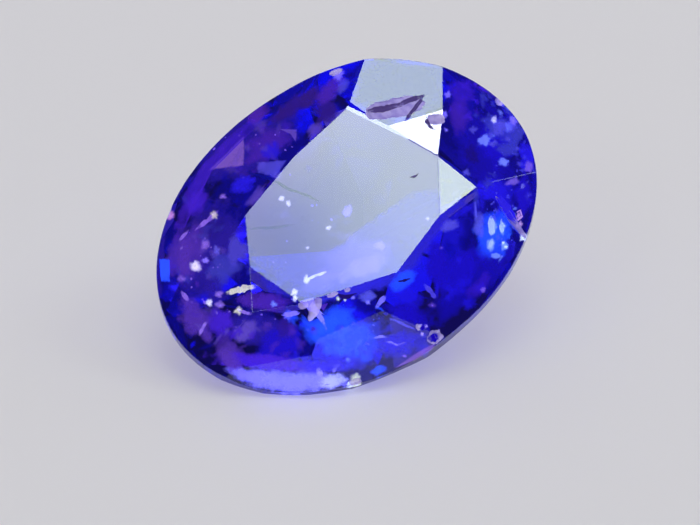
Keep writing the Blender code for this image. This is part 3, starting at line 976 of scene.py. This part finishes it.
# cracks and needles together with painted glint lines and painted shade lines, all glowing
strandShape = newFlaws()
for route, width, depth, tint, strength in strands.values():
    addStrand(strandShape, route, width, depth, tint, strength)
addFlaws("cracks_needles_painted_glints_and_shade", strandShape, flawMaterial("crack", 0.08 * mm, 0.7))


# the studio: a pale board under a dim room, with cloth panels round the stone
studio = {
    "floor": (0.74, 0.735, 0.72), "floorRoughness": 0.9,
    "floorReach": 3.0,
    "airGap": 0.02 * mm,                # the facet that it lies on never quite wets the board
    "room": (0.065, 0.05, 0.13),        # what the stone sees between the panels
    "backdrop": (0.62, 0.62, 0.63),     # what the camera sees past the board's edge
    "reach": 0.30,                      # metres from the stone to a panel
    "middle": Vector((0.0, 0.0, 0.003)),
    "daylight": (0.86, 0.95, 1.0),
    "overhead": (1.0, 0.99, 0.97),
    "sheetAt": (20.0, 78.0), "sheetSize": 100.0,          # degrees
    "sheet": 0.66, "softSheet": 0.36,                     # how bright the two over the board are
    "breaksSheetAt": (200.0, 60.0), "breaksSheet": 1.25,
}
panels = {    # heading from +Y towards +X, elevation, width, height in degrees, how bright
    "window on the right": (86.0, 45.0, 17.0, 19.0, 1.9),
    "window sill": (70.0, 28.5, 16.0, 6.0, 1.25),
    "card on the left": (-139.0, 39.0, 14.0, 12.0, 1.7),
    "low card at the left": (-163.0, 28.5, 14.0, 10.0, 1.05),
    "card behind": (-23.0, 39.0, 12.0, 12.0, 0.55),
    "card by the light for the table": (150.0, 72.5, 8.0, 8.0, 2.0),
    "card on the right, high": (115.0, 71.0, 10.0, 8.0, 0.8),
    "card in front, high": (180.0, 61.0, 14.0, 8.0, 0.7),
    "card on the left, high": (-155.0, 73.0, 9.0, 9.0, 0.9),
    "card overhead": (-60.0, 84.5, 9.0, 9.0, 1.9),
    "card overhead in front": (180.0, 83.0, 12.0, 8.0, 0.7),
}
mirrored = {  # panels that facets mirror: pixels on those facets, width in degrees, light in each colour
    "light for the star facet": (((447, 188),), 4.0, (9.2, 10.8, 6.4)),
    "light for the upper quad": (((408, 84),), 1.9, (5.4, 6.5, 4.0)),
    "light for the bright wedge": (((418, 142),), 1.6, (15.5, 17.1, 18.0)),
    "light for the table's worn edge": (((345, 205), (408, 84)), 1.6, (11.0, 13.0, 12.0)),
}
cloth = {     # the lit cloth that the table mirrors, brighter towards one end
    "at": (345, 205), "size": 6.0,                    # pixel, degrees
    "dim": ((270, 245), (3.1, 3.9, 3.3)),             # the pixel that mirrors this end, its light
    "bright": ((372, 153), (6.4, 7.7, 4.0)),
    "folds": 0.22, "foldNoise": 150.0,
}


def mirrorAt(places):
    # where the line of sight through the first pixel meets the stone, and where a facet that leans
    # halfway between those at the pixels sends it
    eye = planePoint(imageMiddle) + towardCamera * view["distance"]
    sights = [(planePoint(place) - eye).normalized() for place in places]
    hits = [surface.ray_cast(eye, sight) for sight in sights]
    normal = sum((hit[1] for hit in hits), Vector()).normalized()
    return hits[0][0], sights[0].reflect(normal)


def addGrid(name, size, lower):
    shape = bmesh.new()
    bmesh.ops.create_grid(shape, x_segments=1, y_segments=1, size=size)
    bmesh.ops.translate(shape, vec=(0.0, 0.0, -lower), verts=shape.verts)
    return addObject(name, meshFrom(shape, name))


def makeFloor():
    floor = addGrid("floor", studio["floorReach"], studio["airGap"])
    material, tree, shader = newMaterial("pale board", studio["floorRoughness"])
    feed(tree, shader, {"Base Color": (*studio["floor"], 1.0)})
    floor.data.materials.append(material)
    return floor


def towards(heading, elevation):
    rise, turn = math.radians(elevation), math.radians(heading)
    return Vector((math.cos(rise) * math.sin(turn), math.cos(rise) * math.cos(turn), math.sin(rise)))


def face(thing, middle, direction):
    thing.location = middle + direction * studio["reach"]
    thing.rotation_mode = "QUATERNION"
    thing.rotation_quaternion = direction.to_track_quat("Z", "Y")
    thing.visible_camera = False


def addPanel(name, middle, direction, across, tall, light):
    width = 2.0 * studio["reach"] * math.tan(math.radians(0.5 * across))
    height = 2.0 * studio["reach"] * math.tan(math.radians(0.5 * tall))
    lamp = bpy.data.lights.new(name, "AREA")
    lamp.shape = "RECTANGLE"
    lamp.size = width
    lamp.size_y = height
    lamp.color = [value / max(light) for value in light]
    lamp.energy = max(light) * math.pi * width * height
    holder = bpy.data.objects.new(name, lamp)
    face(holder, middle, direction)
    bpy.context.scene.collection.objects.link(holder)
    return holder


def clothMaterial(ends):
    # an even glow that changes from one end to the other, with soft folds; ends are places on the cloth
    material = bpy.data.materials.new("lit cloth")
    material.use_nodes = True
    tree = material.node_tree
    tree.nodes.remove(tree.nodes["Principled BSDF"])
    place = objectPlace(tree)
    folds = noiseOver(tree, place, cloth["foldNoise"], 3.0)
    run = ends[1] - ends[0]
    offset = addNode(tree, "ShaderNodeVectorMath", {0: place, 1: ends[0]}, operation="SUBTRACT")
    share = addNode(tree, "ShaderNodeVectorMath", {0: offset.outputs[0], 1: run / run.length_squared},
                    operation="DOT_PRODUCT")
    bent = compute(tree, "MULTIPLY_ADD", folds, 2.0 * cloth["folds"], share.outputs["Value"])
    share = ramp(tree, compute(tree, "SUBTRACT", bent, cloth["folds"]), 0.0, 1.0)
    colour = blend(tree, share, (*cloth["dim"][1], 1.0), (*cloth["bright"][1], 1.0))
    glow = addNode(tree, "ShaderNodeEmission", {"Color": colour})
    feed(tree, tree.nodes["Material Output"], {"Surface": glow.outputs[0]})
    return material


def addCloth():
    spot, direction = mirrorAt([cloth["at"]])
    half = studio["reach"] * math.tan(math.radians(0.5 * cloth["size"]))
    sheet = addGrid("lit cloth for the table", half, 0.0)
    face(sheet, spot, direction)
    sheet.visible_shadow = False
    back = Matrix.LocRotScale(sheet.location, sheet.rotation_quaternion, None).inverted()
    ends = []
    for place, light in (cloth["dim"], cloth["bright"]):
        start, aim = mirrorAt([place])
        start, aim = back @ start, back.to_3x3() @ aim
        ends.append(start - aim * (start.z / aim.z))
    sheet.data.materials.append(clothMaterial(ends))


def addSheet(name, place, radiance, only):
    light = [value * radiance for value in studio["overhead"]]
    size = studio["sheetSize"]
    sheet = addPanel(name, studio["middle"], towards(*place), size, size, light)
    sheet.light_linking.receiver_collection = only
    return sheet


def lightTheBoard(floor):
    # two wide sheets overhead light the board alone, so that the facets mirror only the panels;
    # the stone holds back the second one only, as a clear stone casts a thin shadow
    only = bpy.data.collections.new("lit from overhead")
    only.objects.link(floor)
    sheet = addSheet("sheet over the board", studio["sheetAt"], studio["sheet"], only)
    sheet.light_linking.blocker_collection = only
    addSheet("softer sheet", studio["sheetAt"], studio["softSheet"], only)


def lightTheBreaks():
    # a wide sheet that only dull surfaces answer to: the chips, not the polished facets
    only = bpy.data.collections.new("lit where broken")
    only.objects.link(polished)
    sheet = addSheet("sheet for the breaks", studio["breaksSheetAt"], studio["breaksSheet"], only)
    sheet.visible_glossy = False
    sheet.visible_transmission = False


def makeWorld():
    world = bpy.data.worlds.new("studio")
    bpy.context.scene.world = world
    world.use_nodes = True
    tree = world.node_tree
    path = addNode(tree, "ShaderNodeLightPath")
    colour = blend(tree, path.outputs["Is Camera Ray"], (*studio["room"], 1.0), (*studio["backdrop"], 1.0))
    feed(tree, tree.nodes["Background"], {"Color": colour})


def makeCamera():
    lens = bpy.data.cameras.new("camera")
    lens.sensor_width = view["sensor"]
    lens.lens = view["sensor"] * view["distance"] / (view["imageSize"][0] * pixel)
    lens.clip_start, lens.clip_end = view["clip"]
    holder = bpy.data.objects.new("camera", lens)
    holder.location = planePoint(imageMiddle) + towardCamera * view["distance"]
    holder.rotation_euler = (math.radians(90.0 - view["elevation"]), 0.0, 0.0)
    bpy.context.scene.collection.objects.link(holder)
    bpy.context.scene.camera = holder


lightTheBoard(makeFloor())
lightTheBreaks()
makeWorld()
makeCamera()
addCloth()
for name, (heading, elevation, across, tall, radiance) in panels.items():
    light = [value * radiance for value in studio["daylight"]]
    addPanel(name, studio["middle"], towards(heading, elevation), across, tall, light)
for name, (places, across, light) in mirrored.items():
    addPanel(name, *mirrorAt(places), across, across, light)

scene = bpy.context.scene
scene.view_settings.view_transform = "Standard"
scene.cycles.max_bounces = 24
scene.cycles.transmission_bounces = 24
scene.cycles.glossy_bounces = 12
scene.cycles.transparent_max_bounces = 24
scene.cycles.blur_glossy = 0.0
scene.cycles.use_adaptive_sampling = False
print("studio lit by", len(panels) + len(mirrored), "panels")
